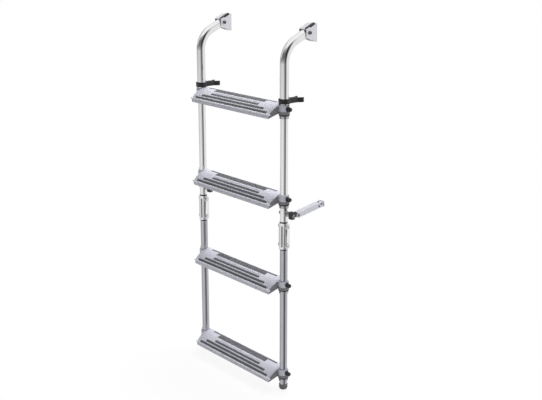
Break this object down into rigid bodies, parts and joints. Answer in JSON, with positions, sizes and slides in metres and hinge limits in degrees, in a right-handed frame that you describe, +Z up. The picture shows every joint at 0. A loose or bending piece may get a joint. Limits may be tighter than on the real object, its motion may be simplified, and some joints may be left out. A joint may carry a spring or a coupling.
{
  "type": "folding bow ladder",
  "caption": "Folding boarding ladder for a boat's bow: bent tubes with brackets over straight rails, moulded steps, a double-pin hinge halfway down and fold-down standoff arms.",
  "frame": {"origin": "centre of the left bracket's flat back face, where it meets the hull", "axes": "+X along the steps from the left rail to the right rail, +Y into the hull, +Z up along the rails"},
  "size_m": [0.4496, 0.1622, 1.0637],
  "materials": {
    "polished_steel": "polished",
    "steel": "satin",
    "step_plastic": "satin",
    "grip_strip": "matt",
    "black_plastic": "satin",
    "pad_rubber": "matt"
  },
  "bodies": {
    "upper_ladder": {"bracket_left": "steel", "bracket_right": "steel", "bracket_cover_left": "black_plastic", "bracket_cover_right": "black_plastic", "bow_arm_left": "polished_steel", "bow_arm_right": "polished_steel", "clip_left": "black_plastic", "clip_right": "black_plastic", "rail_upper_left": "steel", "rail_upper_right": "steel", "standoff_block_left": "black_plastic", "standoff_block_right": "black_plastic", "bracket_bolts": "steel", "step_one": "step_plastic", "step_two": "step_plastic", "grip_strips_upper": "grip_strip", "seal_rings_upper": "black_plastic", "collars_upper": "steel", "step_bolts_upper": "steel", "knuckles_upper": "black_plastic", "standoff_bolts": "steel"},
    "hinge_links": {"hinge_link_left": "steel", "hinge_link_right": "steel", "hinge_pins": "steel"},
    "lower_ladder": {"rail_lower_left": "steel", "rail_lower_right": "steel", "step_three": "step_plastic", "step_four": "step_plastic", "grip_strips_lower": "grip_strip", "seal_rings_lower": "black_plastic", "collars_lower": "steel", "step_bolts_lower": "steel", "knuckles_lower": "black_plastic", "rail_caps": "black_plastic"},
    "standoff_left": {"standoff_arm_left": "steel", "standoff_pin_left": "steel", "standoff_pad_left": "pad_rubber"},
    "standoff_right": {"standoff_arm_right": "steel", "standoff_pin_right": "steel", "standoff_pad_right": "pad_rubber"}
  },
  "joints": [
    {"name": "links_hinge", "type": "hinge", "parent": "upper_ladder", "child": "hinge_links", "pos_m": [0.191, -0.105, -0.535], "axis": [1, 0, 0], "range_deg": [0, 90]},
    {"name": "lower_hinge", "type": "hinge", "parent": "hinge_links", "child": "lower_ladder", "pos_m": [0.191, -0.105, -0.591], "axis": [1, 0, 0], "range_deg": [0, 90]},
    {"name": "standoff_left_hinge", "type": "hinge", "parent": "upper_ladder", "child": "standoff_left", "pos_m": [0.034, -0.087, -0.497], "axis": [1, 0, 0], "range_deg": [-92, 8]},
    {"name": "standoff_right_hinge", "type": "hinge", "parent": "upper_ladder", "child": "standoff_right", "pos_m": [0.416, -0.087, -0.497], "axis": [1, 0, 0], "range_deg": [-100, 0]}
  ]
}
